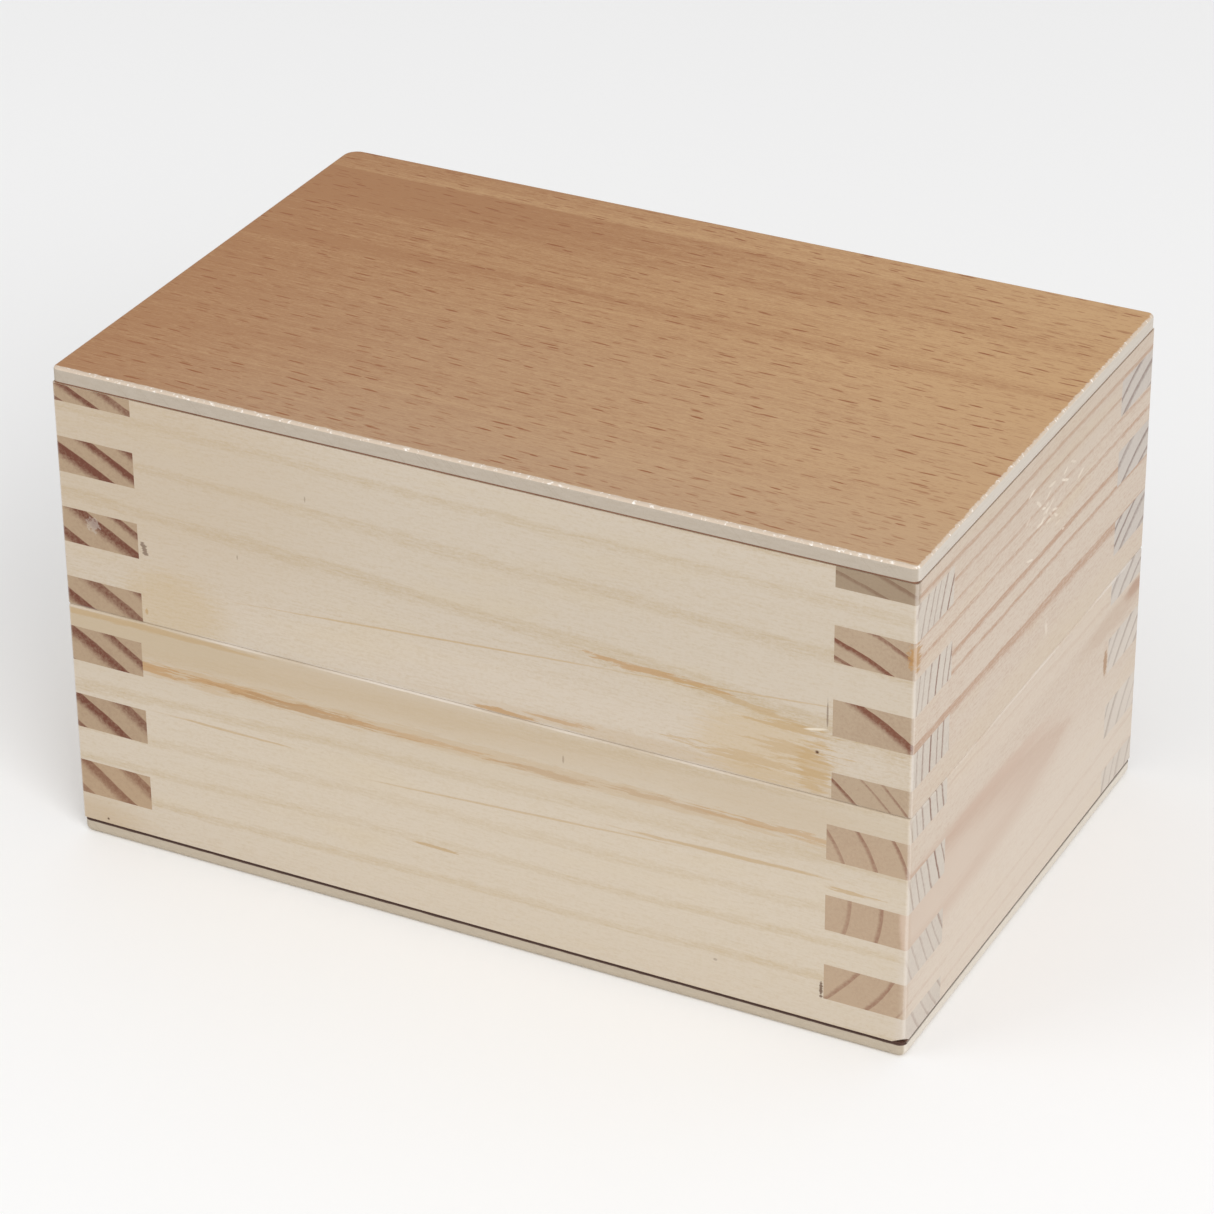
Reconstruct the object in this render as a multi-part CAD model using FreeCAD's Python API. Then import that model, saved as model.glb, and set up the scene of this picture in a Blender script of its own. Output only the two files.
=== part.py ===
"""Small finger-jointed wooden box whose upper half is a lid on two butt hinges.

Units are millimetres. The origin is the centre of the box's underside, +Z is up, the front is towards -Y and
the hinges are on the back, towards +Y.

Four boards are finger-jointed and glued into one tall shell, which is then sawn into a base and a lid. The
blade takes KERF out of the shell, so the finger pattern steps at the seam. A three-ply panel closes each
half.
"""
import math
import os
from collections import namedtuple

import FreeCAD
import Part

V = FreeCAD.Vector
TINY = 1e-6

# The box
LENGTH = 141.0  # along X
DEPTH = 90.0  # along Y
BOARD = 13.0  # thickness of the four boards
SHELL_HEIGHT = 79.5  # of the glued-up shell, before it is sawn
KERF = 3.2  # taken out of the shell by the saw
BASE_BOARD_HEIGHT = 38.4  # what the saw leaves on the base
LID_SHIFT = 0.6  # the lid went on this far to the right, and its outside was then sanded flush

# Finger joints
FINGER = 6.0
LEFT_FIRST_FINGER = 4.7  # the part finger at the foot of the two left corners
RIGHT_FIRST_FINGER = 4.2  # the right corners were cut a little lower

# Panels, each a light core between two veneers
FACE_VENEER = 0.3
CORE = 1.95
INNER_VENEER = 0.35
INNER_VENEER_SETBACK = 0.2  # the veneer on the glued side stops short of the box's faces

# Eased edges
CORNER_EASE = 0.5  # the upright corners of the boards
SEAM_EASE = 0.4  # the outer edges where lid and base meet
MOUTH_EASE = 0.3  # the inner edges there
PANEL_CORNER = 1.2  # upright corners of the panels
WORN_CORNER = 2.6  # the lid's back left corner, rounded more than the others
TOP_EASE = 0.55  # round the lid's top
FOOT_EASE = 1.0  # round the base's underside
CHIP_LENGTH, CHIP_DEPTH, CHIP_HEIGHT = 2.0, 1.6, 1.1  # out of the base's lower front right corner

# Butt hinges, screwed flat to the back
HINGE_CENTRE = 40.0  # each side of the middle
LEAF_WIDTH = 20.0
LEAF_REACH = 8.5  # from the pin's axis to the leaf's free edge
LEAF = 0.8  # sheet thickness
LEAF_CORNER = 1.2
KNUCKLES = 5
KNUCKLE_RADIUS = 1.55
KNUCKLE_GAP = 0.12  # between neighbouring knuckles
PIN_RADIUS = 0.75  # the base leaf grips the pin
PIN_CLEARANCE = 0.04  # and the lid leaf turns on it
PIN_DOME = 0.3
PIN_STANDOFF = 1.6  # from the back of the box to the pin's axis

# Countersunk screws with cross recesses
SCREW_SPACING = 11.0
SCREW_FROM_PIN = 5.2
SCREW_HEAD_RADIUS = 1.7
SCREW_HEAD_CROWN = 0.18
SCREW_HEAD_RIM = 0.12
SCREW_SHANK_RADIUS = 0.8
SCREW_LENGTH = 8.0
SCREW_POINT = 1.8
RECESS_LENGTH, RECESS_WIDTH, RECESS_DEPTH = 1.9, 0.42, 0.5

# Worked out from the above
PANEL = FACE_VENEER + CORE + INNER_VENEER
SEAM = PANEL + BASE_BOARD_HEIGHT  # height of the mouth of the base
LID_BOARD_TOP = SEAM + SHELL_HEIGHT - KERF - BASE_BOARD_HEIGHT
HEIGHT = LID_BOARD_TOP + PANEL
X0, X1 = -LENGTH / 2, LENGTH / 2
Y0, Y1 = -DEPTH / 2, DEPTH / 2

# A half of the sawn shell: the stretch of the shell it is, the heights it fills in the closed box, how far
# its shoulders are shifted along X, the radius of its back left corner, and the way into it from the seam
Half = namedtuple("Half", "shell_low shell_high low high shift worn inward")
HALVES = {
    "base": Half(0, BASE_BOARD_HEIGHT, PANEL, SEAM, 0, CORNER_EASE, -1),
    "lid": Half(BASE_BOARD_HEIGHT + KERF, SHELL_HEIGHT, SEAM, LID_BOARD_TOP, LID_SHIFT, WORN_CORNER, 1),
}


def block(x0, x1, y0, y1, z0, z1):
    """A box between two corners."""
    return Part.makeBox(x1 - x0, y1 - y0, z1 - z0, V(x0, y0, z0))


def rounded_block(z0, z1, corner, worn, eased_level, ease):
    """The box's outline between two heights, rounded at its upright corners and at one level.

    worn is the radius of the back left corner.
    """
    shape = block(X0, X1, Y0, Y1, z0, z1)
    uprights = [edge for edge in shape.Edges if edge.BoundBox.ZLength > z1 - z0 - TINY]
    shape = shape.makeFillet(corner, [edge for edge in uprights if not is_back_left(edge)])
    shape = shape.makeFillet(worn, [edge for edge in shape.Edges if is_back_left(edge)])
    rim = [edge for edge in shape.Edges if edge.BoundBox.ZLength < TINY and is_at_height(edge, eased_level)]
    return shape.makeFillet(ease, rim)


def is_back_left(edge):
    box = edge.BoundBox
    return box.XMax < X0 + TINY and box.YMin > Y1 - TINY


def is_at_height(edge, z):
    return abs(edge.BoundBox.ZMin - z) < TINY


def finger_bands(first, side_board):
    """Heights in the shell, from its foot, of the fingers that one board has at a corner.

    The front and back boards have the lowest finger, the side boards the next one up, and so on.
    """
    levels = [0.0, first]
    while levels[-1] < SHELL_HEIGHT:
        levels.append(min(levels[-1] + FINGER, SHELL_HEIGHT))
    bands = list(zip(levels, levels[1:]))
    return bands[1::2] if side_board else bands[0::2]


def shoulders(shift):
    """The insides of the left and right boards along X."""
    return X0 + BOARD + shift, X1 - BOARD + shift


def long_board(is_front, shift):
    """The front or back board of the whole shell, with slots for the side boards' fingers."""
    y0, y1 = (Y0, Y0 + BOARD) if is_front else (Y1 - BOARD, Y1)
    left, right = shoulders(shift)
    board = block(X0, X1, y0, y1, 0, SHELL_HEIGHT)
    for low, high in finger_bands(LEFT_FIRST_FINGER, side_board=True):
        board = board.cut(block(X0, left, y0, y1, low, high))
    for low, high in finger_bands(RIGHT_FIRST_FINGER, side_board=True):
        board = board.cut(block(right, X1, y0, y1, low, high))
    return board


def side_board(is_left, shift):
    """The left or right board of the whole shell, with slots for the front and back boards' fingers."""
    left, right = shoulders(shift)
    x0, x1 = (X0, left) if is_left else (right, X1)
    first = LEFT_FIRST_FINGER if is_left else RIGHT_FIRST_FINGER
    board = block(x0, x1, Y0, Y1, 0, SHELL_HEIGHT)
    for low, high in finger_bands(first, side_board=False):
        board = board.cut(block(x0, x1, Y0, Y0 + BOARD, low, high))
        board = board.cut(block(x0, x1, Y1 - BOARD, Y1, low, high))
    return board


def sawn(board, half):
    """What the saw leaves of a shell board in one half, in its place, with its edges eased."""
    board = board.common(block(X0, X1, Y0, Y1, half.shell_low, half.shell_high))
    board.translate(V(0, 0, half.low - half.shell_low))
    form = rounded_block(half.low, half.high, CORNER_EASE, half.worn, SEAM, SEAM_EASE)
    return board.common(form).cut(mouth_ease(half))


def mouth_ease(half):
    """A ring to cut from the inner edges of a half's mouth: a frustum that narrows inward from the seam."""
    left, right = shoulders(half.shift)
    rings = []
    for widen, z in ((MOUTH_EASE, SEAM), (0, SEAM + half.inward * MOUTH_EASE)):
        x0, x1 = left - widen, right + widen
        y0, y1 = Y0 + BOARD - widen, Y1 - BOARD + widen
        corners = [V(x0, y0, z), V(x1, y0, z), V(x1, y1, z), V(x0, y1, z)]
        rings.append(Part.makePolygon(corners + corners[:1]))
    return Part.makeLoft(rings, True, True)


def corner_chip():
    """The splinter missing from the base's lower front right corner, a small tetrahedron."""
    corner = V(X1, Y0, PANEL)
    ends = [V(X1 - CHIP_LENGTH, Y0, PANEL), V(X1, Y0 + CHIP_DEPTH, PANEL), V(X1, Y0, PANEL + CHIP_HEIGHT)]
    sides = [[corner, ends[i], ends[(i + 1) % 3]] for i in range(3)]
    faces = [Part.Face(Part.makePolygon(side + side[:1])) for side in sides + [ends]]
    chip = Part.makeSolid(Part.makeShell(faces))
    if chip.Volume < 0:
        chip.reverse()
    return chip


def boards():
    """The eight boards that the saw leaves."""
    made = {}
    for name, half in HALVES.items():
        made[f"{name}_front_board"] = sawn(long_board(True, half.shift), half)
        made[f"{name}_back_board"] = sawn(long_board(False, half.shift), half)
        made[f"{name}_left_board"] = sawn(side_board(True, half.shift), half)
        made[f"{name}_right_board"] = sawn(side_board(False, half.shift), half)
    made["base_front_board"] = made["base_front_board"].cut(corner_chip())
    return made


def panel(z0, form, plies):
    """A panel's plies, from its underside up. plies are (node, thickness, setback from the box's faces)."""
    made = {}
    for node, thickness, setback in plies:
        x, y = X1 - setback, Y1 - setback
        made[node] = form.common(block(-x, x, -y, y, z0, z0 + thickness))
        z0 += thickness
    return made


def base_panel():
    form = rounded_block(0, PANEL, PANEL_CORNER, PANEL_CORNER, 0, FOOT_EASE)
    return panel(0, form, [
        ("base_panel_outer_veneer", FACE_VENEER, 0),
        ("base_panel_core", CORE, 0),
        ("base_panel_inner_veneer", INNER_VENEER, INNER_VENEER_SETBACK),
    ])


def lid_panel():
    form = rounded_block(LID_BOARD_TOP, HEIGHT, PANEL_CORNER, WORN_CORNER, HEIGHT, TOP_EASE)
    return panel(LID_BOARD_TOP, form, [
        ("lid_panel_inner_veneer", INNER_VENEER, INNER_VENEER_SETBACK),
        ("lid_panel_core", CORE, 0),
        ("lid_panel_face_veneer", FACE_VENEER, 0),
    ])


def tube(radius, x0, x1):
    """A cylinder along the X axis."""
    return Part.makeCylinder(radius, x1 - x0, V(x0, 0, 0), V(1, 0, 0))


def sphere_radius(rim, rise):
    """The radius of the sphere whose cap has a given rim radius and rise."""
    return (rim**2 + rise**2) / (2 * rise)


def knuckle_spans(of_lid):
    """The stretches of the pin that one leaf's knuckles wrap. The base leaf has the outer ones."""
    pitch = LEAF_WIDTH / KNUCKLES
    ends = [-LEAF_WIDTH / 2 + i * pitch for i in range(KNUCKLES + 1)]
    spans = list(zip(ends, ends[1:]))
    return spans[1::2] if of_lid else spans[0::2]


def leaf(of_lid):
    """One hinge leaf about a pin along the X axis. Its back is PIN_STANDOFF from the axis, towards -Y.

    It is made as the lid's leaf, which rises from the pin, and turned over for the base.
    """
    half = LEAF_WIDTH / 2
    back = -PIN_STANDOFF
    shape = block(-half, half, back, back + LEAF, 0, LEAF_REACH)
    free_corners = [e for e in shape.Edges if e.BoundBox.YLength > LEAF / 2 and is_at_height(e, LEAF_REACH)
                    and e.BoundBox.XLength < TINY]
    shape = shape.makeFillet(LEAF_CORNER, free_corners)
    for x0, x1 in knuckle_spans(not of_lid):
        room = KNUCKLE_RADIUS + KNUCKLE_GAP
        shape = shape.cut(block(x0 - KNUCKLE_GAP / 2, x1 + KNUCKLE_GAP / 2, back, back + LEAF, 0, room))
    for x0, x1 in knuckle_spans(of_lid):
        shape = shape.fuse(tube(KNUCKLE_RADIUS, x0 + KNUCKLE_GAP / 2, x1 - KNUCKLE_GAP / 2))
    bore = PIN_RADIUS + (PIN_CLEARANCE if of_lid else 0)
    shape = shape.cut(tube(bore, -half, half)).removeSplitter()
    for x in screw_places():
        shape = shape.cut(screw_outline(x))
    return shape if of_lid else turned_over(shape)


def turned_over(shape):
    return shape.mirror(V(0, 0, 0), V(0, 0, 1))


def screw_places():
    return -SCREW_SPACING / 2, SCREW_SPACING / 2


def screw_outline(x):
    """A countersunk screw without its recess, in the lid leaf of a hinge about the X axis."""
    face = -PIN_STANDOFF + LEAF
    neck = face - SCREW_HEAD_RIM - (SCREW_HEAD_RADIUS - SCREW_SHANK_RADIUS)
    tip = face - SCREW_LENGTH
    ball = sphere_radius(SCREW_HEAD_RADIUS, SCREW_HEAD_CROWN)
    middle = math.asin(SCREW_HEAD_RADIUS / ball) / 2
    crown_top = face + SCREW_HEAD_CROWN
    crown_middle = V(ball * math.sin(middle), crown_top - ball * (1 - math.cos(middle)), 0)
    points = [V(SCREW_HEAD_RADIUS, face, 0), V(SCREW_HEAD_RADIUS, face - SCREW_HEAD_RIM, 0),
              V(SCREW_SHANK_RADIUS, neck, 0), V(SCREW_SHANK_RADIUS, tip + SCREW_POINT, 0),
              V(0, tip, 0), V(0, crown_top, 0)]
    edges = [Part.LineSegment(a, b).toShape() for a, b in zip(points, points[1:])]
    edges.append(Part.Arc(points[-1], crown_middle, points[0]).toShape())
    shape = Part.Face(Part.Wire(edges)).revolve(V(0, 0, 0), V(0, 1, 0), 360)
    shape.translate(V(x, 0, SCREW_FROM_PIN))
    return shape


def screw(x, turn):
    """A screw whose cross recess is turned by some degrees."""
    face = -PIN_STANDOFF + LEAF
    shape = screw_outline(x)
    for angle in (turn, turn + 90):
        slot = block(-RECESS_LENGTH / 2, RECESS_LENGTH / 2, face - RECESS_DEPTH, face + 2 * SCREW_HEAD_CROWN,
                     -RECESS_WIDTH / 2, RECESS_WIDTH / 2)
        slot.rotate(V(0, 0, 0), V(0, 1, 0), angle)
        slot.translate(V(x, 0, SCREW_FROM_PIN))
        shape = shape.cut(slot)
    return shape


def screws(of_lid, turns):
    """The two screws of one leaf."""
    pair = [screw(x, turn) for x, turn in zip(screw_places(), turns)]
    return Part.makeCompound(pair if of_lid else [turned_over(one) for one in pair])


def pin():
    """The hinge pin, as long as the leaf, with low domed ends."""
    half = LEAF_WIDTH / 2
    shape = tube(PIN_RADIUS, -half, half)
    ball = sphere_radius(PIN_RADIUS, PIN_DOME)
    for side in (-1, 1):
        dome = Part.makeSphere(ball, V(side * (half + PIN_DOME - ball), 0, 0))
        end = tube(PIN_RADIUS, half, half + PIN_DOME)
        if side < 0:
            end = end.mirror(V(0, 0, 0), V(1, 0, 0))
        shape = shape.fuse(dome.common(end))
    return shape.removeSplitter()


def hinge(name, x, turns):
    """The pieces of one hinge in their places. turns are those of its screws' recesses, in degrees."""
    pieces = {
        f"{name}_hinge_base_leaf": leaf(of_lid=False),
        f"{name}_hinge_lid_leaf": leaf(of_lid=True),
        f"{name}_hinge_pin": pin(),
        f"{name}_hinge_base_screws": screws(False, turns[:2]),
        f"{name}_hinge_lid_screws": screws(True, turns[2:]),
    }
    for shape in pieces.values():
        shape.translate(V(x, Y1 + PIN_STANDOFF, SEAM))
    return pieces


def bore_for_screws(parts):
    """Make the back boards' screw holes, which the screws fill."""
    pilots = [screw_outline(x) for x in screw_places()]
    for half in HALVES:
        board = parts[f"{half}_back_board"]
        for x in (-HINGE_CENTRE, HINGE_CENTRE):
            for pilot in pilots:
                hole = pilot.copy() if half == "lid" else turned_over(pilot)
                hole.translate(V(x, Y1 + PIN_STANDOFF, SEAM))
                board = board.cut(hole)
        parts[f"{half}_back_board"] = board


def save(name, shape):
    """Write one node, as a single solid or as a group of them."""
    solids = shape.Solids
    if not solids or not shape.isValid():
        raise ValueError(f"{name} isn't a sound solid")
    shape = solids[0] if len(solids) == 1 else Part.makeCompound(solids)
    shape.exportStep(f"parts/{name}.step")
    print(f"{name}: {len(solids)} solid(s), {shape.Volume:.1f} mm3")


def main():
    parts = boards()
    parts.update(base_panel())
    parts.update(lid_panel())
    parts.update(hinge("left", -HINGE_CENTRE, (12, 55, 80, 33)))
    parts.update(hinge("right", HINGE_CENTRE, (40, 5, 66, 21)))
    bore_for_screws(parts)
    os.makedirs("parts", exist_ok=True)
    for name, shape in parts.items():
        save(name, shape)
    print(f"box {LENGTH} x {DEPTH} x {HEIGHT}, seam at {SEAM}")


main()
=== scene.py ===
"""Looks for the small finger-jointed wooden box: timber, veneer, plywood edges, brass, floor, light, camera.

Lengths are metres, as in the frame, except inside the materials, whose coordinates are millimetres.
"""
import math
import random
from dataclasses import dataclass

import bpy
from mathutils import Matrix, Vector


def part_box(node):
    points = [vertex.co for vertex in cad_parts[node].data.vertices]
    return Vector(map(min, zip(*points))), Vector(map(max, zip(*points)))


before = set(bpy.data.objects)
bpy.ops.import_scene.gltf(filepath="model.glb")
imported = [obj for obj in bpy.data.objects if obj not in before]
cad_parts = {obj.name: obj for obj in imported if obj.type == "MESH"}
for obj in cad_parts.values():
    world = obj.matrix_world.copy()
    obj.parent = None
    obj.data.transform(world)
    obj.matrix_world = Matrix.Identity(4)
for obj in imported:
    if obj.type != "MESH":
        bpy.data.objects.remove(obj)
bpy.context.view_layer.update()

MM = 0.001

# The box, in millimetres, from the frame
LOW, HIGH = (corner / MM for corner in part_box("base_panel_core"))
LEFT, RIGHT, FRONT, BACK = LOW.x, HIGH.x, LOW.y, HIGH.y
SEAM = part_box("base_front_board")[1].z / MM
LOW_PLY_TOP = HIGH.z
KERF = 3.2  # taken out of the boards between base and lid, so the grain steps there


# Materials, built as graphs of fields


def linear(colour):
    """A display colour, 0 to 255, as the linear colour that nodes take."""
    shares = [part / 255 for part in colour]
    return [c / 12.92 if c <= 0.04045 else ((c + 0.055) / 1.055) ** 2.4 for c in shares] + [1.0]


class Field:
    """A number that varies over a surface: a node's output, with arithmetic."""

    def __init__(self, graph, socket):
        self.graph = graph
        self.socket = socket

    def __add__(self, other):
        return self.graph.math("ADD", self, other)

    def __sub__(self, other):
        return self.graph.math("SUBTRACT", self, other)

    def __rsub__(self, other):
        return self.graph.math("SUBTRACT", other, self)

    def __mul__(self, other):
        return self.graph.math("MULTIPLY", self, other)

    def __truediv__(self, other):
        return self.graph.math("DIVIDE", self, other)

    def __pow__(self, other):
        return self.graph.math("POWER", self, other)

    def __abs__(self):
        return self.graph.math("ABSOLUTE", self)

    def floor(self):
        return self.graph.math("FLOOR", self)

    def fraction(self):
        return self.graph.math("FRACT", self)

    def least(self, other):
        return self.graph.math("MINIMUM", self, other)

    def most(self, other):
        return self.graph.math("MAXIMUM", self, other)

    def rise(self, start, end):
        """0 below start, 1 above end and smooth between. With start above end it falls instead."""
        if start > end:
            return 1 - self.rise(end, start)
        settings = {"interpolation_type": "SMOOTHSTEP"}
        return self.graph.add("ShaderNodeMapRange", settings, {0: self, 1: start, 2: end})

    __radd__ = __add__
    __rmul__ = __mul__


class Graph:
    """One material's nodes."""

    def __init__(self, name):
        self.material = bpy.data.materials.new(name)
        self.material.use_nodes = True
        self.tree = self.material.node_tree
        self.tree.nodes.clear()
        where = self.add("ShaderNodeTexCoord", output=None)
        position = self.split(where.outputs["Object"])
        self.x, self.y, self.z = (part / MM for part in position)
        self.normal = self.split(where.outputs["Normal"])

    def add(self, kind, settings=(), inputs=(), output=0):
        """A new node's output as a field, or the node itself if output is None."""
        node = self.tree.nodes.new(kind)
        for name, value in dict(settings).items():
            setattr(node, name, value)
        for key, value in dict(inputs).items():
            self.feed(node.inputs[key], value)
        return node if output is None else Field(self, node.outputs[output])

    def feed(self, socket, value):
        if isinstance(value, Field):
            value = value.socket
        if isinstance(value, bpy.types.NodeSocket):
            self.tree.links.new(value, socket)
        else:
            socket.default_value = value

    def split(self, vector):
        node = self.add("ShaderNodeSeparateXYZ", inputs={0: vector}, output=None)
        return [Field(self, part) for part in node.outputs]

    def point(self, x, y, z):
        return self.add("ShaderNodeCombineXYZ", inputs={0: x, 1: y, 2: z})

    def math(self, operation, a, b=0.0):
        return self.add("ShaderNodeMath", {"operation": operation}, {0: a, 1: b})

    def noise(self, x, y=0.0, z=0.0, detail=2.0, roughness=0.5):
        """Smooth noise, about -1 to 1."""
        inputs = {"Vector": self.point(x, y, z), "Scale": 1.0, "Detail": detail, "Roughness": roughness}
        return self.add("ShaderNodeTexNoise", inputs=inputs) * 2 - 1

    def mix(self, share, first, second):
        """A colour between two, which are sockets, fields or display colours."""
        node = self.add("ShaderNodeMix", {"data_type": "RGBA"}, {0: share}, output=None)
        for key, colour in ((6, first), (7, second)):
            self.feed(node.inputs[key], linear(colour) if isinstance(colour, (tuple, list)) else colour)
        return node.outputs[2]

    def steps(self, value, levels):
        """How many levels the value has passed, counting smoothly from one to the next."""
        low, high = levels[0], levels[-1]
        ramp = self.add("ShaderNodeValToRGB", inputs={0: (value - low) / (high - low)}, output=None)
        stops = ramp.color_ramp.elements
        for index, level in enumerate(levels[1:-1], 1):
            share = index / (len(levels) - 1)
            stops.new((level - low) / (high - low)).color = (share, share, share, 1)
        return Field(self, ramp.outputs[0]) * (len(levels) - 1)

    def pick(self, number, choices):
        """The choice that a whole number stands for."""
        ramp = self.add("ShaderNodeValToRGB", inputs={0: (number + 0.5) / len(choices)}, output=None)
        ramp.color_ramp.interpolation = "CONSTANT"
        stops = ramp.color_ramp.elements
        stops.remove(stops[1])
        stops[0].color = (choices[0], choices[0], choices[0], 1)
        for index, choice in enumerate(choices[1:], 1):
            stops.new(index / len(choices)).color = (choice, choice, choice, 1)
        return Field(self, ramp.outputs[0])

    def spot(self, mark, turn, ragged):
        """How far a mark covers each point, from 0 to 1."""
        tilt = [math.radians(mark.tilt) * share for share in turn]
        inputs = {"Vector": self.point(self.x, self.y, self.z), "Location": mark.centre,
                  "Rotation": tilt, "Scale": [extent / 2 for extent in mark.size]}
        inside = self.add("ShaderNodeMapping", {"vector_type": "TEXTURE"}, inputs)
        reach = self.add("ShaderNodeVectorMath", {"operation": "LENGTH"}, {0: inside}, output="Value")
        soft_edge = mark.fade / (1 + mark.raggedness)
        return (reach + ragged * mark.raggedness).rise(1.1, 1.1 - soft_edge) * mark.strength

    def finish(self, colour, roughness, height, metallic=0.0, specular=0.35):
        """End the graph. height is the bump's, in millimetres."""
        bump = self.add("ShaderNodeBump", inputs={"Strength": 1.0, "Distance": MM, "Height": height})
        inputs = {"Base Color": colour, "Roughness": roughness, "Metallic": metallic,
                  "Specular IOR Level": specular, "Normal": bump}
        surface = self.add("ShaderNodeBsdfPrincipled", inputs=inputs)
        self.add("ShaderNodeOutputMaterial", inputs={0: surface}, output=None)
        return self.material


def spindles(g, along, across, pitch, half_length, half_width, share, seed):
    """Short elliptical flecks, scattered one to a cell. pitch is the cells' length and width."""
    x, y = along / pitch[0] + seed, across / pitch[1] + seed
    cells = g.add("ShaderNodeTexVoronoi", {"voronoi_dimensions": "2D"},
                  {"Vector": g.point(x, y, 0.0), "Scale": 1.0, "Randomness": 0.95}, output=None)
    centre = g.split(cells.outputs["Position"])
    luck = g.split(cells.outputs["Color"])
    size = luck[0] * 0.65 + 0.5
    off_along = (x - centre[0]) * pitch[0] / (size * half_length)
    off_across = (y - centre[1]) * pitch[1] / half_width
    shape = (off_along ** 2.0 + off_across ** 2.0).rise(1.0, 0.3)
    return shape * luck[1].rise(1 - share, 1 - share + 0.05) * (luck[2] * 0.6 + 0.4)


# Timber


@dataclass
class Timber:
    """How a board was sawn from its log, with lengths in millimetres.

    The grain runs along the axis `along`, 0 for X or 1 for Y. The pith is at `pith`, a distance across and a
    height in the uncut shell, and drifts by `drift` per millimetre of grain. Growth rings end where
    the root of oval * across^2 + up^2 is one of `rings`, and `strengths` is how dark the late wood is
    between one and the next, from 0 to 1. Late wood starts at the shares `late` of each ring, on end grain
    and on long. The colours are those of early and late wood, on long and on end grain.
    """

    along: int
    pith: tuple
    drift: tuple
    oval: float
    rings: tuple
    strengths: tuple
    late: tuple
    long_pale: tuple
    long_dark: tuple
    end_pale: tuple
    end_dark: tuple
    seed: float


@dataclass
class Mark:
    """A streak, patch or spot, an ellipsoid in millimetres, tilted in degrees about its board's normal.

    Its edge fades over the share `fade` of its radius, less where it is ragged.
    """

    centre: tuple
    size: tuple
    colour: tuple
    strength: float
    tilt: float = 0.0
    raggedness: float = 0.5
    fade: float = 0.95


def even_rings(start, stop, spacing, seed):
    """Ring radii with uneven gaps."""
    luck = random.Random(seed)
    radii = [start]
    while radii[-1] < stop:
        radii.append(radii[-1] + spacing * luck.uniform(0.7, 1.35))
    return tuple(radii)


def uneven(number, seed):
    """Ring strengths without a pattern."""
    luck = random.Random(seed)
    return tuple(luck.uniform(0.55, 1.0) for _ in range(number))


BACK_RINGS = even_rings(23, 103, 3.1, 9)

TIMBER = {
    "front": Timber(0, (22.1, 49.2), (0.009, 0.0), 1.0,
                    (50.2, 52.6, 54.9, 57.5, 59.4, 61.9, 64.6, 66.6, 68.3, 70.5, 73.2, 75.5, 78.5, 80.3, 82.5, 85),
                    (0.8, 0.4, 0.75, 0.65, 1.0, 0.6, 0.4, 0.55, 0.5, 0.4, 0.5, 0.6, 0.0, 0.3, 0.2),
                    (0.70, 0.62), (197, 184, 167), (181, 161, 131), (202, 192, 180), (140, 112, 99), 3.1),
    "right": Timber(1, (37.3, 24.4), (-0.016, 0.0), 0.747,
                    (16.2, 19.6, 20.4, 23.8, 24.7, 28.1, 28.95, 31.8, 32.3, 33.7, 34.3, 40.3, 42.4, 46.0, 47.0, 48.3,
                     49.6, 52.7, 53.7, 55.5, 56.4, 58.7, 59.6, 61.5, 62.5, 64.7, 65.6, 69.0),
                    (0.0, 0.55, 0.0, 0.7, 0.0, 0.75, 0.0, 0.45, 0.0, 0.5, 0.0, 0.9, 0.0, 0.75, 0.0,
                     0.95, 0.0, 0.7, 0.0, 0.6, 0.0, 0.75, 0.0, 0.9, 0.0, 0.75, 0.0),
                    (0.1, 0.1), (204, 189, 173), (181, 150, 128), (172, 151, 127), (116, 72, 53), 7.7),
    "left": Timber(1, (-165.0, -125.0), (0.006, 0.004), 1.0,
                   (155.2, 160.0, 164.6, 169.2, 174.0, 178.7, 183.5, 188.7, 192.4, 196.9, 201.8, 206.4, 211.4,
                    214.3, 219.4, 223.0, 226.3, 229.0, 232.3, 236.0, 240.0),
                   (0.8, 0.7, 0.9, 0.8, 0.9, 0.7, 0.85, 0.8, 0.9, 0.75, 0.9, 0.9, 0.8, 1.0, 0.95, 0.8, 0.85, 0.7,
                    0.8, 0.75),
                   (0.44, 0.6), (200, 186, 168), (177, 150, 122), (168, 145, 119), (106, 61, 44), 12.3),
    "back": Timber(0, (70.0, -9.4), (0.008, -0.006), 1.0, BACK_RINGS, uneven(len(BACK_RINGS) - 1, 4),
                   (0.62, 0.62), (198, 185, 168), (182, 159, 132), (199, 190, 181), (146, 130, 122), 17.9),
}


def timber_fields(g, timber, lifted):
    """The growth rings' phase and strength, and the places along, across and up the uncut board."""
    along, across = (g.x, g.y) if timber.along == 0 else (g.y, g.x)
    up = g.z + (KERF if lifted else 0.0)
    seed = timber.seed
    sway = g.noise(along / 55, up / 14 + seed, across / 14, detail=3.0)
    fine_sway = g.noise(along / 12, up / 2.5 + seed, across / 2.5)
    from_pith_across = across - timber.pith[0] - along * timber.drift[0]
    from_pith_up = up - timber.pith[1] - along * timber.drift[1]
    radius = (from_pith_across ** 2.0 * timber.oval + from_pith_up ** 2.0) ** 0.5
    wobble = g.noise(along / 17, up / 8 + seed, across / 8, detail=1.0)
    steadiness = abs(from_pith_up).rise(4.0, 15.0) * 0.75 + 0.25
    radius = radius + (sway * 0.4 + wobble * 0.22 + fine_sway * 0.14) * steadiness
    count = g.steps(radius, timber.rings)
    strength = g.pick(count.floor(), timber.strengths)
    return count.fraction(), strength, along, across, up


WARMTH = (1.0, 0.985, 0.93)  # multiplies the pale colour in warm patches
WORN_AND_HIGHLIGHT = (222, 214, 205)  # edges rubbed pale, with a painted highlight on their rounding


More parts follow.
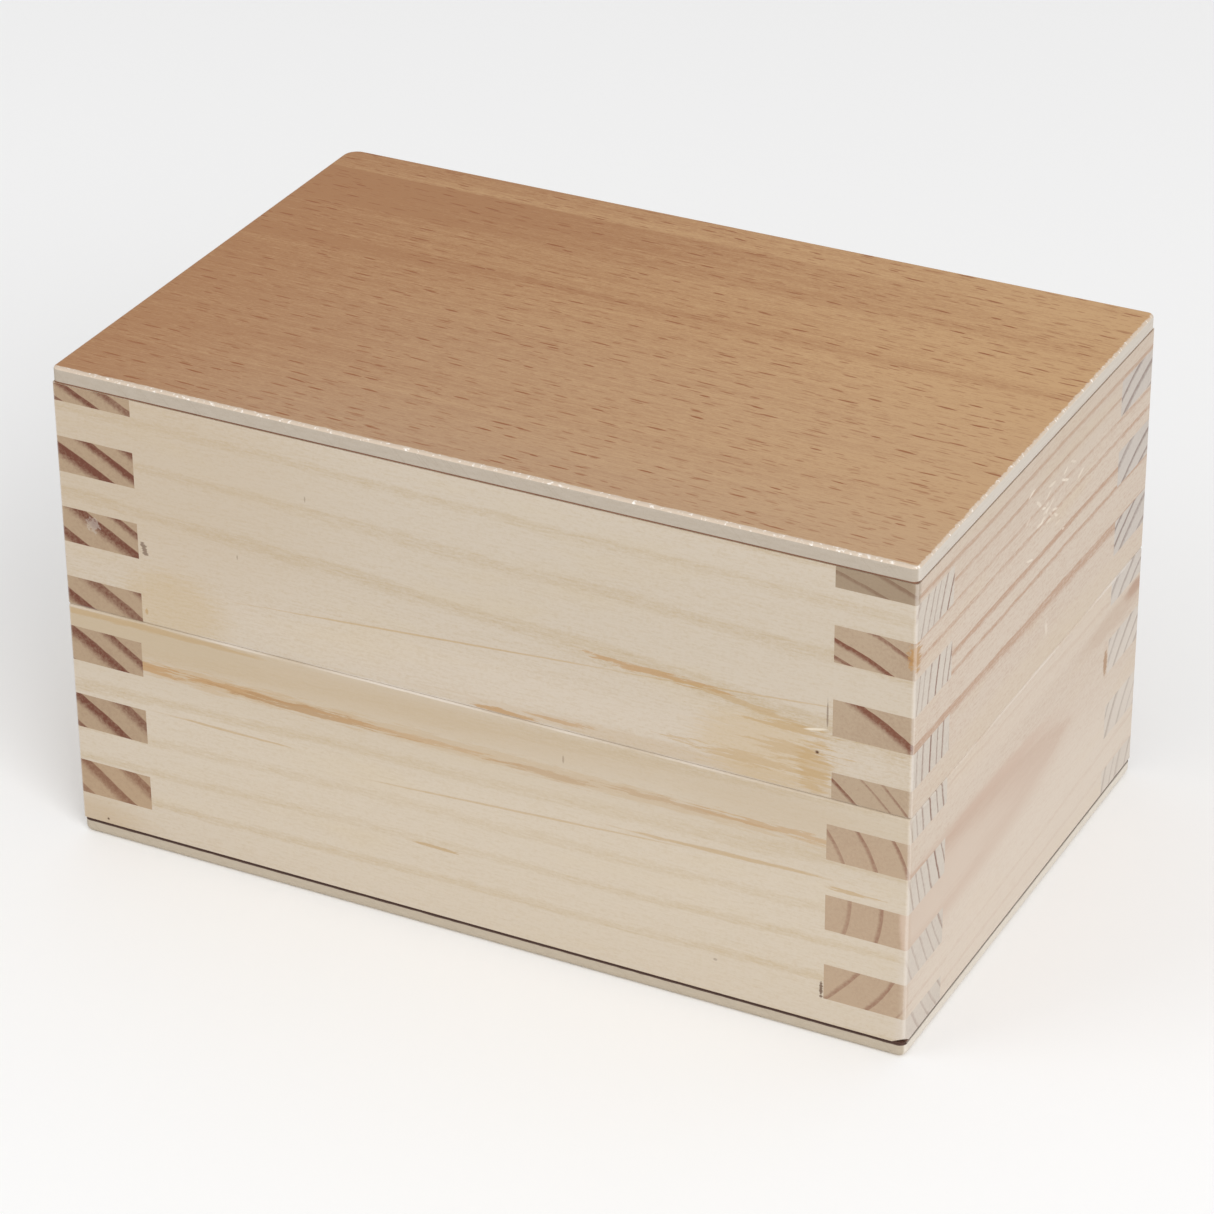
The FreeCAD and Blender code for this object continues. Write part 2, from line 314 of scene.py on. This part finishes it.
def pine(name, timber, half, marks):
    """One board's material. half is "base" or "lid"."""
    g = Graph(name)
    phase, strength, along, across, up = timber_fields(g, timber, half == "lid")
    seed = timber.seed
    end = abs(g.normal[timber.along]).rise(0.45, 0.75)
    fibre = g.noise(along / 3, up / 0.3 + seed, across / 0.3, detail=3.0, roughness=0.7)
    dust = g.noise(along / 0.7, up / 0.5 + seed, across / 0.5, detail=3.0, roughness=0.75)
    streaks = g.noise(along / 60, up / 1.6, across / 1.6 + seed, detail=3.0)
    cloud = g.noise(along / 38 + seed, up / 11, across / 11, detail=2.0)
    ragged = g.noise(along / 6, up / 0.45 + seed, across / 0.45, detail=5.0, roughness=0.7)
    fuzzy = phase + dust * 0.04
    end_late, long_late = timber.late
    late_end = fuzzy.rise(end_late, end_late * 0.3 + 0.68) * fuzzy.rise(1.0, 0.95) * strength
    late_long = (phase + ragged * 0.08).rise(long_late, long_late * 0.4 + 0.56) * phase.rise(1.0, 0.9) * strength
    grain = streaks * 0.18 + cloud * 0.16 + fibre * 0.75 + dust * 0.75
    long_share = late_long * (streaks * 0.4 + fibre * 0.5 + 0.85) + grain + 0.10
    end_share = late_end * (dust * 0.35 + 1.0) + dust * 0.3 + cloud * 0.14 + 0.04
    warm = g.noise(along / 26, up / 6 + seed, across / 6, detail=2.0).rise(0.05, 0.6) * 0.5
    pale = g.mix(warm, timber.long_pale, [part * tint for part, tint in zip(timber.long_pale, WARMTH)])
    colour = g.mix(end, g.mix(long_share.most(0.0), pale, timber.long_dark),
                   g.mix(end_share.most(0.0), timber.end_pale, timber.end_dark))
    turn = (0, -1, 0) if timber.along == 0 else (1, 0, 0)
    for mark in marks:
        colour = g.mix(g.spot(mark, turn, ragged), colour, mark.colour)
    # Worn edges with a painted highlight: the upright corners and the edges at the seam are made paler.
    colour = g.mix(worn_and_highlit_edges(g, half, ragged), colour, WORN_AND_HIGHLIGHT)
    height = (fibre * 0.014 + late_long * 0.01) * (1 - end) + end * (dust * 0.03 + late_end * 0.015)
    return g.finish(colour, 0.62 + fibre * 0.06 + end * 0.12, height)


def worn_and_highlit_edges(g, half, ragged):
    """Where the box's upright corners and the sawn edges at the seam are rubbed pale, with a painted highlight on
    their rounding.
    """
    corner = (RIGHT - abs(g.x)).most(BACK - abs(g.y)) + ragged * 0.25
    from_seam = (SEAM - g.z) if half == "base" else (g.z - SEAM)
    outside = (RIGHT - abs(g.x)).least(BACK - abs(g.y)).rise(0.9, 0.5)
    patchy = g.noise(g.x / 24, g.y / 24, 6.1, detail=2.0).rise(-0.3, 0.4)
    sawn = (from_seam + ragged * 0.12).rise(0.42, 0.22) * outside * patchy
    return (corner.rise(0.55, 0.2) * 0.32).most(sawn * 0.6)


# Colours of marks
RESIN = (174, 132, 80)
RUST = (159, 117, 66)
AMBER = (178, 148, 104)
TAN = (182, 158, 126)
UMBER = (84, 52, 28)
LIGHT = (220, 208, 194)
CREAM = (212, 199, 178)
PALE_DENT = (236, 226, 210)

DEEP = 3.0  # a mark's extent through its face, half of it inside the board


def scuffs(number, centre, spread, seed):
    """Small pale dents scattered on the right side, about a place along Y and Z."""
    luck = random.Random(seed)
    dents = []
    for _ in range(number):
        place = (RIGHT, luck.gauss(centre[0], spread[0] / 2), luck.gauss(centre[1], spread[1] / 2))
        size = (DEEP, luck.uniform(1.2, 3.2), luck.uniform(0.35, 0.7))
        dents.append(Mark(place, size, PALE_DENT, luck.uniform(0.25, 0.6), luck.uniform(-40, 30), 0.8))
    return dents


MARKS = {
    "base_front_board": [
        Mark((0.0, FRONT, 36.0), (320, DEEP, 20), (186, 170, 147), 0.38, 0, 0.2),
        Mark((-40.0, FRONT, 37.6), (190, DEEP, 9.0), (184, 163, 134), 0.62, 0, 0.2),
        Mark((50.0, FRONT, 37.0), (36, DEEP, 9), (184, 164, 136), 0.35, 0, 0.3),
        Mark((-58.0, FRONT, 38.5), (50, DEEP, 6), (184, 166, 138), 0.4, 0, 0.3),
        Mark((0.0, FRONT, 33.3), (150, DEEP, 2.8), TAN, 0.6, 0, 1.2),
        Mark((-44.0, FRONT, 33.2), (56, DEEP, 3.2), (182, 154, 118), 0.5, 0, 1.4),
        Mark((-57.0, FRONT, 33.2), (16, DEEP, 1.5), RESIN, 0.7, 0, 2.8),
        Mark((-41.0, FRONT, 33.3), (22, DEEP, 1.2), RESIN, 0.8, 0, 2.8),
        Mark((-28.0, FRONT, 33.0), (25, DEEP, 1.3), RUST, 0.7, 0, 2.8),
        Mark((-12.0, FRONT, 33.1), (34, DEEP, 0.9), RESIN, 0.55, 0, 2.0),
        Mark((13.0, FRONT, 32.9), (15, DEEP, 1.0), RUST, 0.45, 0, 2.8),
        Mark((34.0, FRONT, 33.6), (23, DEEP, 1.0), RUST, 0.4, 0, 2.8),
        Mark((52.0, FRONT, 33.8), (23, DEEP, 1.1), RESIN, 0.45, 0, 2.8),
        Mark((10.0, FRONT, 14.0), (260, DEEP, 64), CREAM, 0.3, 0, 0.1),
        Mark((-72.0, FRONT, 3.0), (34, DEEP, 12), TAN, 0.5, 0, 0.3),
        Mark((-60.0, FRONT, 40.1), (56, DEEP, 1.2), AMBER, 0.6, 0, 0.8),
        Mark((-43.0, FRONT, 25.6), (24, DEEP, 0.5), AMBER, 0.55, 0, 1.0),
        Mark((8.0, FRONT, 25.0), (64, DEEP, 0.45), AMBER, 0.5, 3.2, 0.5),
        Mark((42.0, FRONT, 27.2), (40, DEEP, 0.8), AMBER, 0.6, 1.5, 0.8),
        Mark((-6.3, FRONT, 14.7), (9, DEEP, 0.7), AMBER, 0.7, 0, 1.6),
        Mark((15.1, FRONT, 36.1), (0.4, DEEP, 1.6), UMBER, 0.35),
        Mark((62.0, FRONT, 26.2), (7, DEEP, 0.7), AMBER, 0.6, 0, 2.0),
        Mark((57.1, FRONT, 8.3), (0.6, DEEP, 2.8), UMBER, 0.8, 0, 1.5),
        Mark((-65.8, FRONT, 3.4), (0.5, DEEP, 0.5), UMBER, 0.9),
        Mark((40.0, FRONT, 8.4), (0.8, DEEP, 0.6), UMBER, 0.35),
        Mark((RIGHT, FRONT, 6.0), (4, 34, 44), (206, 195, 184), 0.5, 0, 0.1),
    ],
    "lid_front_board": [
        Mark((-56.0, FRONT, 68.0), (90, DEEP, 50), TAN, 0.3, 0, 0.2),
        Mark((34.0, FRONT, 42.3), (84, DEEP, 3.0), TAN, 0.35, 0, 0.9),
        Mark((47.0, FRONT, 46.5), (24, DEEP, 13), (190, 164, 122), 0.4, 0, 0.9),
        Mark((10.0, FRONT, 66.0), (260, DEEP, 36), (188, 176, 158), 0.25, 0, 0.2),
        Mark((-5.0, FRONT, 46.0), (110, DEEP, 10), (212, 200, 186), 0.15, 0, 0.3),
        Mark((30.5, FRONT, 54.6), (20, DEEP, 1.2), RESIN, 0.65, -2, 2.2),
        Mark((45.0, FRONT, 53.2), (24, DEEP, 1.0), AMBER, 0.55, -7, 2.0),
        Mark((-6.0, FRONT, 51.2), (78, DEEP, 0.4), AMBER, 0.6, 4.2, 0.4),
        Mark((44.0, FRONT, 55.0), (44, DEEP, 0.35), AMBER, 0.5, 5.0, 0.5),
        Mark((52.5, FRONT, 47.6), (12, DEEP, 2.4), AMBER, 0.45, 0, 2.8),
        Mark((47.0, FRONT, 44.4), (24, DEEP, 1.8), AMBER, 0.45, 0, 2.6),
        Mark((55.4, FRONT, 45.6), (6.0, DEEP, 9.0), (176, 142, 88), 0.4, 0, 1.4),
        Mark((52.0, FRONT, 51.2), (14, DEEP, 1.2), AMBER, 0.6, 0, 2.2),
        Mark((55.8, FRONT, 48.3), (0.8, DEEP, 0.7), UMBER, 1.0, 0, 0.1),
        Mark((5.5, FRONT, 41.6), (10, DEEP, 0.9), RESIN, 0.7, 0, 2.0),
        Mark((14.5, FRONT, 42.5), (12, DEEP, 0.7), RESIN, 0.5, 0, 2.0),
        Mark((-51.0, FRONT, 44.5), (22, DEEP, 16), (186, 160, 116), 0.36, 0, 0.5),
        Mark((-55.9, FRONT, 54.2), (0.9, DEEP, 2.4), UMBER, 0.65, 18, 2.2),
        Mark((-56.1, FRONT, 43.3), (0.6, DEEP, 1.3), AMBER, 0.8, 0, 1.2),
        Mark((57.3, FRONT, 54.9), (0.35, DEEP, 5.0), UMBER, 0.55, 0, 0.8),
        Mark((55.5, FRONT, 52.0), (4.2, DEEP, 0.5), (226, 216, 198), 0.75, 13, 0.6),
        Mark((-27.2, FRONT, 69.2), (0.3, DEEP, 1.2), UMBER, 0.35),
        Mark((-39.4, FRONT, 56.6), (0.3, DEEP, 1.0), UMBER, 0.35),
    ],
    "lid_right_board": [
        Mark((RIGHT, FRONT, 67.2), (2.6, 4, 4.6), RESIN, 0.8, 0, 1.3),
        Mark((64.0, FRONT, 77.5), (40, DEEP, 9), (134, 116, 94), 0.6, 0, 0.3),
        Mark((RIGHT, 4.6, 46.9), (DEEP, 1.2, 3.2), LIGHT, 0.6, 14),
        Mark((RIGHT, 8.0, 80.0), (DEEP, 170, 28), (186, 169, 151), 0.3, 0, 0.1),
        Mark((RIGHT, 0.0, 43.0), (DEEP, 110, 8), (206, 190, 168), 0.35, 0, 0.4),
        *scuffs(26, (4.5, 68.4), (11.0, 5.5), 6),
    ],
    "base_right_board": [
        Mark((RIGHT, -30.0, 24.2), (DEEP, 98, 16.6), (189, 162, 143), 0.85, 0, 0.15, 0.5),
        Mark((RIGHT, -43.0, 23.8), (DEEP, 88, 12.0), (201, 182, 165), 0.85, 0, 0.25, 0.8),
        Mark((RIGHT, -8.0, 30.0), (DEEP, 44, 3.0), (190, 156, 136), 0.35, -2, 0.6),
        Mark((RIGHT, 4.0, 10.0), (DEEP, 170, 60), LIGHT, 0.4, 0, 0.1),
        Mark((RIGHT, 12.0, 5.0), (DEEP, 150, 36), LIGHT, 0.3, 0, 0.1),
        Mark((RIGHT, 0.0, 38.5), (DEEP, 150, 9), (212, 198, 182), 0.5, 0, 0.1),
        Mark((64.0, FRONT, 18.0), (40, DEEP, 60), (188, 160, 134), 0.3, 0, 0.2),
        Mark((RIGHT, 42.5, 35.0), (DEEP, 10, 3.2), (168, 130, 108), 0.75, 0, 0.3),
        Mark((RIGHT, 30.9, 27.4), (DEEP, 1.7, 5.0), (166, 130, 98), 0.8, 0, 1.0),
        Mark((RIGHT, 34.0, 34.0), (DEEP, 36, 5.0), (190, 166, 146), 0.45, 0, 0.3),
    ],
    "base_left_board": [
        Mark((-64.0, FRONT, 8.0), (30, DEEP, 24), (190, 158, 124), 0.2, 0, 0.3),
    ],
    "lid_back_board": [
        Mark((RIGHT, 38.0, 72.0), (DEEP, 60, 50), (166, 153, 144), 0.12, 0, 0.1),
    ],
    "lid_left_board": [
        Mark((-64.8, FRONT, 56.0), (2.4, DEEP, 2.2), (196, 186, 174), 0.4, 0, 2.0),
    ],
    "base_back_board": [
        Mark((RIGHT, 38.0, 12.0), (DEEP, 60, 66), LIGHT, 0.45, 0, 0.1),
    ],
}


# Dark brown for glue under the boards, darkened further as painted shade of the gap there.
GLUE_AND_GAP_SHADE = (76, 51, 42)
FLECK = (142, 84, 42)
BACK_LEAF = 7.1  # the width of the paler leaf joined along the veneer's back edge
RED_BANDS = ((18.0, 0.22), (33.0, 0.32))  # each one's distance from the back edge, and how red it is


def beech(name):
    """The lid's face veneer: warm beech with short flecks, pale where its front and right edges are sanded, with
    painted glints on them.
    """
    g = Graph(name)
    bands = g.noise(g.x / 220, g.y / 9 + 4.3, detail=3.0)
    middling = g.noise(g.x / 70, g.y / 2.0, detail=3.0)
    stripes = g.noise(g.x / 26, g.y / 0.6, detail=3.0, roughness=0.6)
    fibre = g.noise(g.x / 3, g.y / 0.25, detail=3.0, roughness=0.7)
    specks = g.noise(g.x / 0.6, g.y / 0.35, 9.1, detail=3.0, roughness=0.7)
    red = bands * 0.24 + middling * 0.36 + stripes * 0.45 + fibre * 0.8 + specks * 0.5 - g.x / 145 + 0.5
    leaf_joint = BACK - BACK_LEAF + g.noise(g.x / 60, 2.2) * 0.3
    pale_leaf = (g.y - leaf_joint).rise(-0.15, 0.15)
    leftness = g.x.rise(RIGHT, LEFT)
    red = red + (g.y - leaf_joint).rise(-13.0, -1.0) * (1 - pale_leaf) * (leftness * 0.55 + 0.05)
    for distance, redness in RED_BANDS:
        red = red + abs(g.y - BACK + distance).rise(3.2, 0.0) * redness
    red = (red - pale_leaf * 0.06).most(0.0)
    colour = g.mix(red.least(1.3), (193, 154, 110), (164, 117, 76))
    tilt = g.y + g.x * 0.05 + g.noise(g.x / 14, g.y / 5) * 0.5
    flecks = spindles(g, g.x, tilt, (7.0, 2.6), 2.0, 0.24, 0.75, 3.0)
    faint = spindles(g, g.x, tilt, (5.0, 1.7), 1.5, 0.18, 0.75, 29.0)
    dust = spindles(g, g.x, tilt, (2.6, 0.8), 0.9, 0.14, 0.6, 11.0)
    grey = (g.y.rise(18, -20) * 0.18 + g.y.rise(-20, FRONT) * 0.2) * g.x.rise(LEFT - 20, LEFT + 60)
    colour = g.mix(grey, colour, (174, 149, 126))
    colour = g.mix((flecks * 0.9 + faint * 0.6 + dust * 0.3).least(1.0), colour, FLECK)
    ragged = g.noise(g.x / 1.6, g.y / 0.5, detail=4.0, roughness=0.65)
    ragged_side = g.noise(g.x / 0.7, g.y / 0.8, 3.3, detail=4.0, roughness=0.7)
    front_edge = (g.y - FRONT + ragged * 0.35).rise(0.95, 0.65)
    right_edge = (RIGHT - g.x + ragged_side * 0.5).rise(0.6, 0.3)
    # Painted highlight: near-white glints scattered over the sanded front and right edges.
    painted_glint = g.noise(g.x / 0.6, g.y / 0.5, 7.7, detail=2.0).rise(0.1, 0.5)
    sanded_and_glinting = front_edge.most(right_edge)
    colour = g.mix(sanded_and_glinting * 0.92, colour, g.mix(painted_glint, (208, 192, 174), (250, 245, 238)))
    height = fibre * 0.006 - flecks * 0.012 + stripes * 0.004 + sanded_and_glinting * ragged * 0.03
    return g.finish(colour, 0.5 + fibre * 0.05 + sanded_and_glinting * 0.2, height, specular=0.3)


def ply(name, long_grain, end_grain, along, glue_and_shade_from=math.inf):
    """A plain ply, its grain along X or Y: its colours, pale and dark, on long grain and on end grain.

    Above a given height its outer edges are darkened, as glue stain and as painted shade of the gap under the
    boards, less so at the sides.
    """
    g = Graph(name)
    run, across = (g.x, g.y) if along == 0 else (g.y, g.x)
    end = abs(g.normal[along]).rise(0.45, 0.75)
    fibre = g.noise(run / 5, across / 0.25, g.z / 0.2, detail=3.0, roughness=0.65)
    streaks = g.noise(run / 40, across / 2.2, g.z / 0.5, detail=3.0)
    dust = g.noise(run / 0.5, across / 0.5, g.z / 0.3, detail=3.0, roughness=0.7)
    pores = spindles(g, run, across + g.z, (5.0, 0.8), 1.4, 0.09, 0.7, 5.0)
    share = (fibre * 0.3 + streaks * 0.35 + dust * 0.2 + pores * 0.35 + 0.3).least(1.0).most(0.0)
    colour = g.mix(end, g.mix(share, *long_grain), g.mix(share, *end_grain))
    if glue_and_shade_from < math.inf:
        front_or_back = (BACK - abs(g.y)).rise(1.5, 0.9)
        outer = front_or_back.most((RIGHT - abs(g.x)).rise(1.5, 0.9) * 0.5)
        wander = g.noise(g.x / 3, g.y / 3) * 0.12
        # Painted shade: the band just under the boards is darkened like the gap's shadow, along with glue stain.
        glue_and_shade = (g.z + wander).rise(glue_and_shade_from - 0.04, glue_and_shade_from + 0.04)
        colour = g.mix(outer * glue_and_shade * 0.95, colour, GLUE_AND_GAP_SHADE)
    return g.finish(colour, 0.65 + fibre * 0.08, fibre * 0.012 * (1 - end) + dust * end * 0.03 - pores * 0.02)


def brass(name):
    """Hinge brass, brushed and lightly dulled."""
    g = Graph(name)
    brushed = g.noise(g.x / 6, g.y / 0.05, g.z / 0.05, detail=2.0)
    tarnish = g.noise(g.x / 2.4, g.y / 2.4, g.z / 2.4, detail=4.0, roughness=0.65)
    colour = g.mix(tarnish.rise(-0.3, 0.7), (212, 182, 122), (180, 146, 90))
    return g.finish(colour, 0.32 + tarnish * 0.10 + brushed * 0.06, brushed * 0.002, metallic=1.0, specular=0.5)


# Giving the CAD nodes their materials


def dress(node, material):
    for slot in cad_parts[node].material_slots:
        slot.material = material


def dress_boards():
    for side, timber in TIMBER.items():
        for half in ("base", "lid"):
            node = f"{half}_{side}_board"
            dress(node, pine(f"pine_{half}_{side}", timber, half, MARKS.get(node, [])))


def dress_panels():
    """Each ply's colours are pale and dark, on long grain and then on end grain."""
    lid_core = ((207, 199, 189), (190, 178, 162)), ((182, 171, 157), (164, 150, 132))
    base_core = ((224, 216, 204), (206, 196, 182)), ((188, 176, 158), (170, 155, 134))
    red_brown = ((150, 112, 88), (96, 62, 46)), ((128, 92, 72), (88, 56, 42))
    underside = ((216, 203, 184), (196, 178, 152)), ((208, 194, 175), (190, 171, 146))
    dress("lid_panel_face_veneer", beech("beech_face"))
    dress("base_panel_outer_veneer", ply("beech_underside", *underside, 0))
    # The top of the glue stain and painted shade under the boards.
    glue_and_shade_line = LOW_PLY_TOP - 0.14
    for half, core, glue_and_shade_from in (("base", base_core, glue_and_shade_line), ("lid", lid_core, math.inf)):
        dress(f"{half}_panel_core", ply(f"poplar_core_{half}", *core, 1, glue_and_shade_from))
        dress(f"{half}_panel_inner_veneer", ply(f"inner_veneer_{half}", *red_brown, 0, glue_and_shade_from))


def dress_hinges():
    metal = brass("hinge_brass")
    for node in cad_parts:
        if "hinge" in node:
            dress(node, metal)


# Stage


FLOOR_HALF = 6.0
FLOOR_WHITES = (246, 246, 246), (249, 249, 249)
WORLD_LIGHT = 0.72
LIT_POINT = Vector((0, 0, 0.04))  # the middle of the box, which both lamps face


def floor():
    """A large pale floor with a faint unevenness."""
    half = FLOOR_HALF
    mesh = bpy.data.meshes.new("floor")
    mesh.from_pydata([(-half, -half, 0), (half, -half, 0), (half, half, 0), (-half, half, 0)], [], [(0, 1, 2, 3)])
    piece = bpy.data.objects.new("floor", mesh)
    bpy.context.scene.collection.objects.link(piece)
    g = Graph("floor")
    cloud = g.noise(g.x / 400, g.y / 400, detail=2.0)
    mesh.materials.append(g.finish(g.mix(cloud * 0.5 + 0.5, *FLOOR_WHITES), 0.8, 0.0))


def aim(thing, place, target):
    """Put a light at a place, facing a target."""
    thing.matrix_world = Matrix.Translation(place) @ (target - place).to_track_quat("-Z", "Y").to_matrix().to_4x4()


def softbox(name, place, size, power):
    data = bpy.data.lights.new(name, "AREA")
    data.size = size
    data.energy = power
    lamp = bpy.data.objects.new(name, data)
    bpy.context.scene.collection.objects.link(lamp)
    aim(lamp, Vector(place), LIT_POINT)


def lighting():
    world = bpy.data.worlds.new("studio")
    world.use_nodes = True
    background = world.node_tree.nodes["Background"]
    background.inputs["Color"].default_value = (1, 1, 1, 1)
    background.inputs["Strength"].default_value = WORLD_LIGHT
    bpy.context.scene.world = world
    softbox("key", (0.9, -0.75, 0.9), 0.7, 9.0)
    softbox("fill", (-0.9, -0.9, 0.7), 0.9, 3.0)
    bpy.context.scene.view_settings.view_transform = "Standard"


# The camera's angles, from the photo's edges
CAMERA_AZIMUTH = math.radians(27.219)
CAMERA_ELEVATION = math.radians(29.371)
CAMERA_ROLL = math.radians(-0.445)
CAMERA_DISTANCE = 0.7078
CAMERA_TARGET = Vector((0, 0, 0.03525))
CAMERA_SIDESTEP = -0.00056
CAMERA_LENS = 134.94


def camera():
    data = bpy.data.cameras.new("camera")
    data.lens = CAMERA_LENS
    data.clip_start = 0.05
    eye = bpy.data.objects.new("camera", data)
    bpy.context.scene.collection.objects.link(eye)
    level = math.cos(CAMERA_ELEVATION)
    back = Vector((math.sin(CAMERA_AZIMUTH) * level, -math.cos(CAMERA_AZIMUTH) * level, math.sin(CAMERA_ELEVATION)))
    turn = (-back).to_track_quat("-Z", "Y").to_matrix().to_4x4() @ Matrix.Rotation(CAMERA_ROLL, 4, "Z")
    place = CAMERA_TARGET + back * CAMERA_DISTANCE + turn.to_3x3() @ Vector((CAMERA_SIDESTEP, 0, 0))
    eye.matrix_world = Matrix.Translation(place) @ turn
    bpy.context.scene.camera = eye


camera()
lighting()
floor()
dress_boards()
dress_panels()
dress_hinges()
